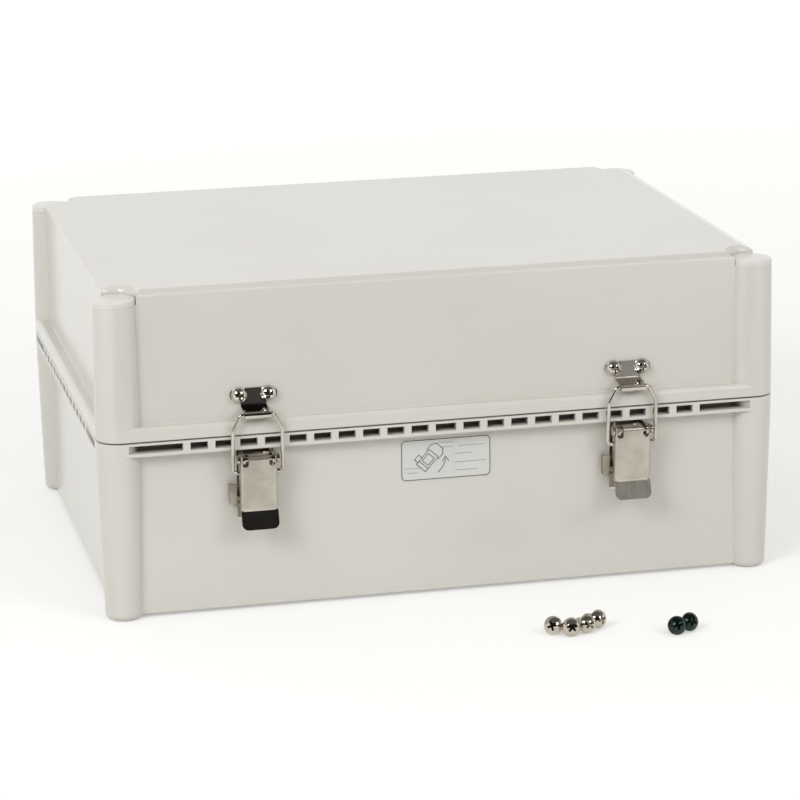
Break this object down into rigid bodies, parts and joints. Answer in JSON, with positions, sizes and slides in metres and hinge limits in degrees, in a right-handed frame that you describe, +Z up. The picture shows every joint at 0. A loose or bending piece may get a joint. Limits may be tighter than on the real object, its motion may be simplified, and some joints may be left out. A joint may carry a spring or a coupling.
{
  "type": "hinged enclosure",
  "caption": "Grey polycarbonate wall box with a hinged lid, corner pillars, a gasketed rim with moulded pockets, a mounting plate and stainless draw latches with safety catches.",
  "frame": {"origin": "centre of the four wall-fixing holes, in the plane the feet stand on", "axes": "+X along the front to the right, +Y from the latches' side to the hinges, +Z up from the wall or bench through the lid"},
  "size_m": [0.38, 0.2941, 0.1815],
  "materials": {
    "grey_plastic": "satin moulded",
    "cap_plastic": "satin moulded",
    "seal_foam": "matte",
    "insert_brass": "turned",
    "plate_zinc": "galvanised",
    "bright_nickel": "polished nickel",
    "dark_zinc": "dark green passivated",
    "latch_steel": "satin stainless",
    "bright_steel": "polished stainless",
    "spring_steel": "satin",
    "label_film": "printed film"
  },
  "bodies": {
    "base": {"base_shell": "grey_plastic", "plate_inserts": "insert_brass", "mounting_plate": "plate_zinc", "plate_screws": "bright_nickel", "earth_screws": "dark_zinc", "opening_label": "label_film", "left_latch_base": "latch_steel", "right_latch_base": "latch_steel", "latch_base_screws": "bright_nickel", "left_lever_pin": "bright_steel", "right_lever_pin": "bright_steel", "left_hinge_base_leaf": "latch_steel", "right_hinge_base_leaf": "latch_steel", "left_hinge_pin": "bright_steel", "right_hinge_pin": "bright_steel", "hinge_base_screws": "bright_nickel", "base_nuts": "bright_nickel"},
    "lid": {"lid_shell": "grey_plastic", "corner_caps": "cap_plastic", "seal_gasket": "seal_foam", "left_keeper": "latch_steel", "right_keeper": "latch_steel", "keeper_screws": "bright_nickel", "left_hinge_lid_leaf": "latch_steel", "right_hinge_lid_leaf": "latch_steel", "hinge_lid_screws": "bright_nickel", "lid_nuts": "bright_nickel"},
    "left_lever": {"left_latch_lever": "latch_steel"},
    "left_bail": {"left_latch_bail": "bright_steel"},
    "left_catch": {"left_safety_catch": "spring_steel"},
    "right_lever": {"right_latch_lever": "latch_steel"},
    "right_bail": {"right_latch_bail": "bright_steel"},
    "right_catch": {"right_safety_catch": "spring_steel"}
  },
  "joints": [
    {"name": "lid_hinge", "type": "hinge", "parent": "base", "child": "lid", "pos_m": [0, 0.1431, 0.1006], "axis": [-1, 0, 0], "range_deg": [0, 180]},
    {"name": "left_lever_pivot", "type": "hinge", "parent": "base", "child": "left_lever", "pos_m": [-0.1048, -0.143, 0.088], "axis": [-1, 0, 0], "range_deg": [0, 90]},
    {"name": "left_bail_pivot", "type": "hinge", "parent": "left_lever", "child": "left_bail", "pos_m": [-0.1048, -0.142, 0.0805], "axis": [-1, 0, 0], "range_deg": [-70.2, 0]},
    {"name": "left_catch_slide", "type": "slide", "parent": "base", "child": "left_catch", "axis": [1, 0, 0], "range_m": [0, 0.0025], "stiffness_N_per_m": 200},
    {"name": "right_lever_pivot", "type": "hinge", "parent": "base", "child": "right_lever", "pos_m": [0.1048, -0.143, 0.088], "axis": [-1, 0, 0], "range_deg": [0, 90]},
    {"name": "right_bail_pivot", "type": "hinge", "parent": "right_lever", "child": "right_bail", "pos_m": [0.1048, -0.142, 0.0805], "axis": [-1, 0, 0], "range_deg": [-70.2, 0]},
    {"name": "right_catch_slide", "type": "slide", "parent": "base", "child": "right_catch", "axis": [1, 0, 0], "range_m": [0, 0.0025], "stiffness_N_per_m": 200}
  ],
  "couplings": [
    {"joint": "left_bail_pivot", "follows": "left_lever_pivot", "ratio": -0.78},
    {"joint": "right_bail_pivot", "follows": "right_lever_pivot", "ratio": -0.78}
  ]
}
